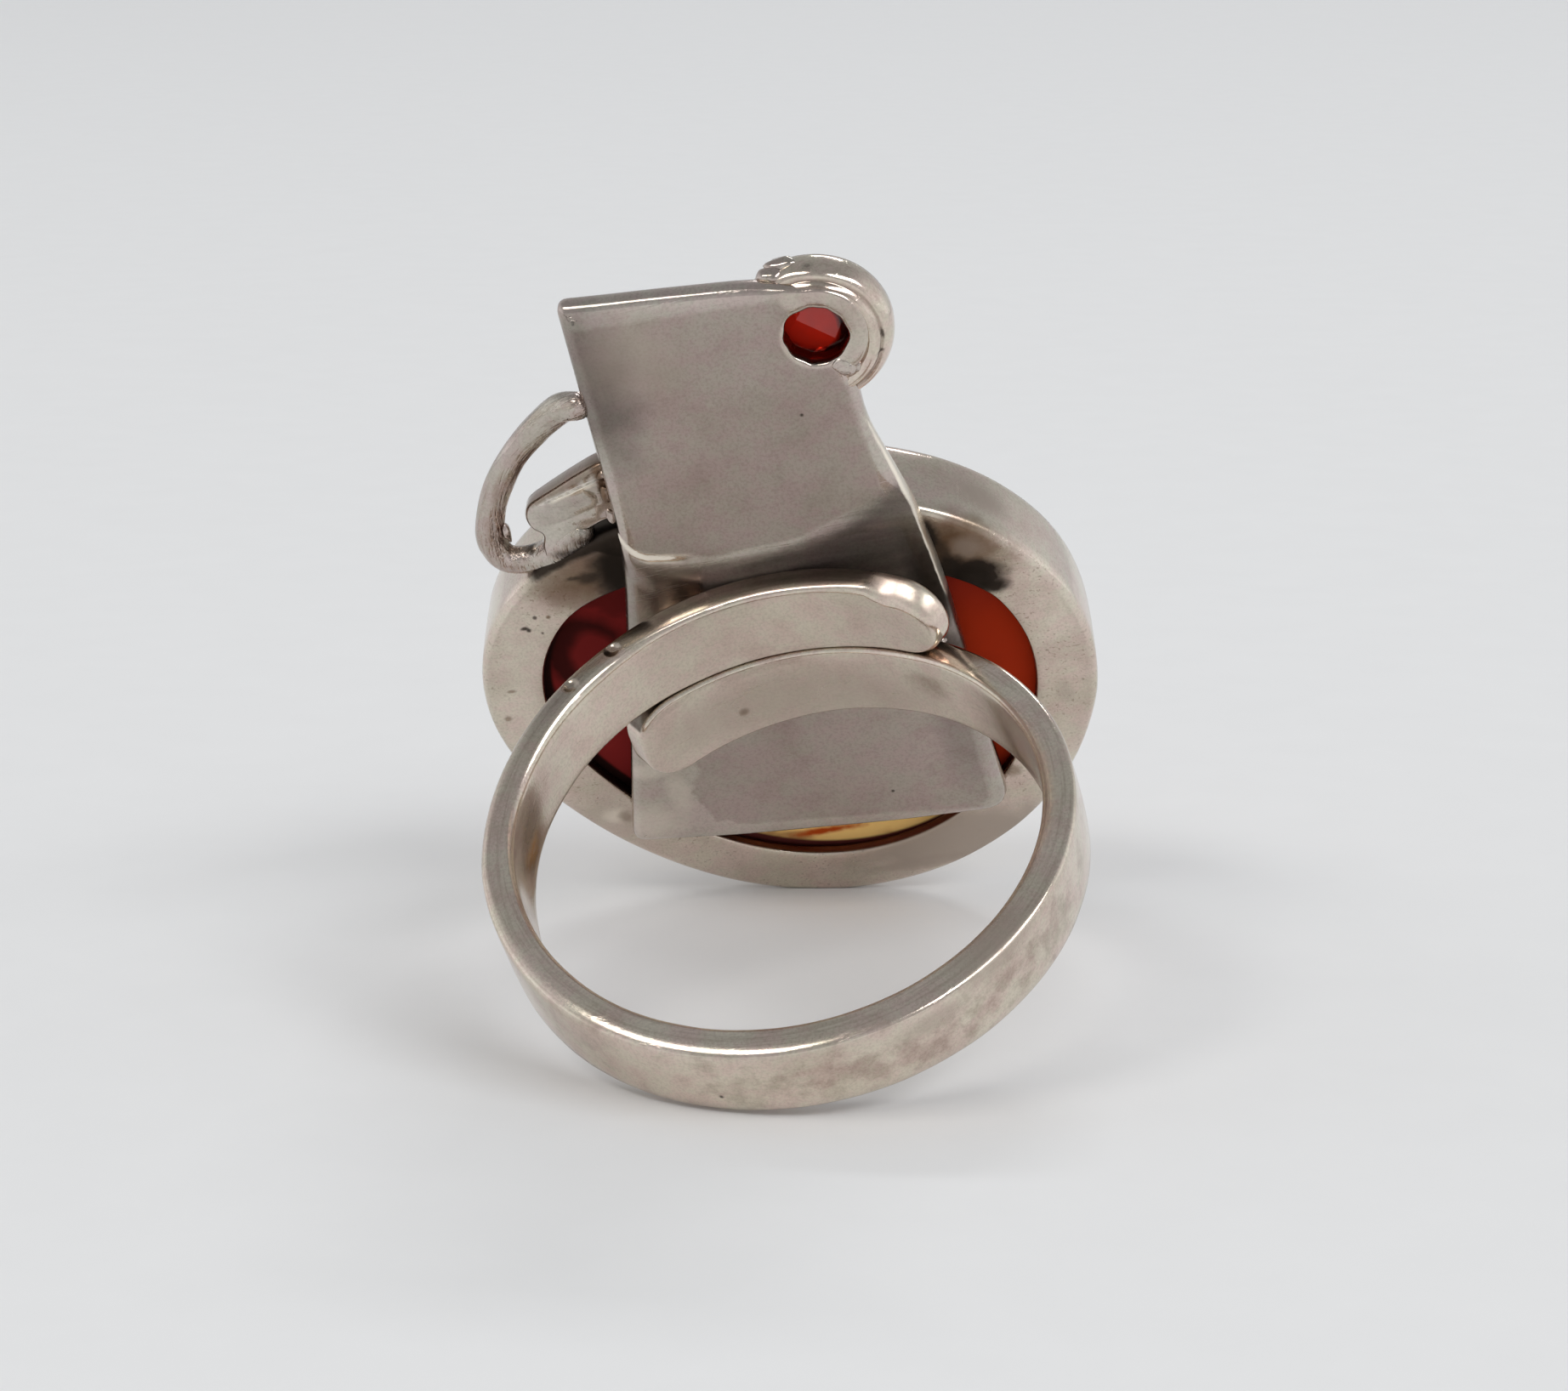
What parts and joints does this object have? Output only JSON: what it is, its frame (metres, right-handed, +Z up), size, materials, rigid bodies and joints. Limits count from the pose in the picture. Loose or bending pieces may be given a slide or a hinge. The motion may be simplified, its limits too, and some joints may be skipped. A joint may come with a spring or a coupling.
{
  "type": "gemstone ring",
  "caption": "Silver ring with a bypass shank, a bent back plate, a large domed cabochon in a closed bezel, a small faceted stone in a cup and a curled wire scroll.",
  "frame": {"origin": "middle of the box round the ring as it lies, at the height of the surface", "axes": "+Z up from the surface; +Y from the shank, which touches the surface at its low side, to the head and its stones; +X across the ring, to the right as seen from behind the head"},
  "size_m": [0.022, 0.0292, 0.0258],
  "materials": {
    "silver": "satin silver with polished edges and some tarnish",
    "orange_stone": "polished, orange-red, slightly clear",
    "red_stone": "polished, clear red"
  },
  "bodies": {
    "root": {"silver_mount": "silver", "main_stone": "orange_stone", "small_stone": "red_stone"}
  },
  "joints": []
}
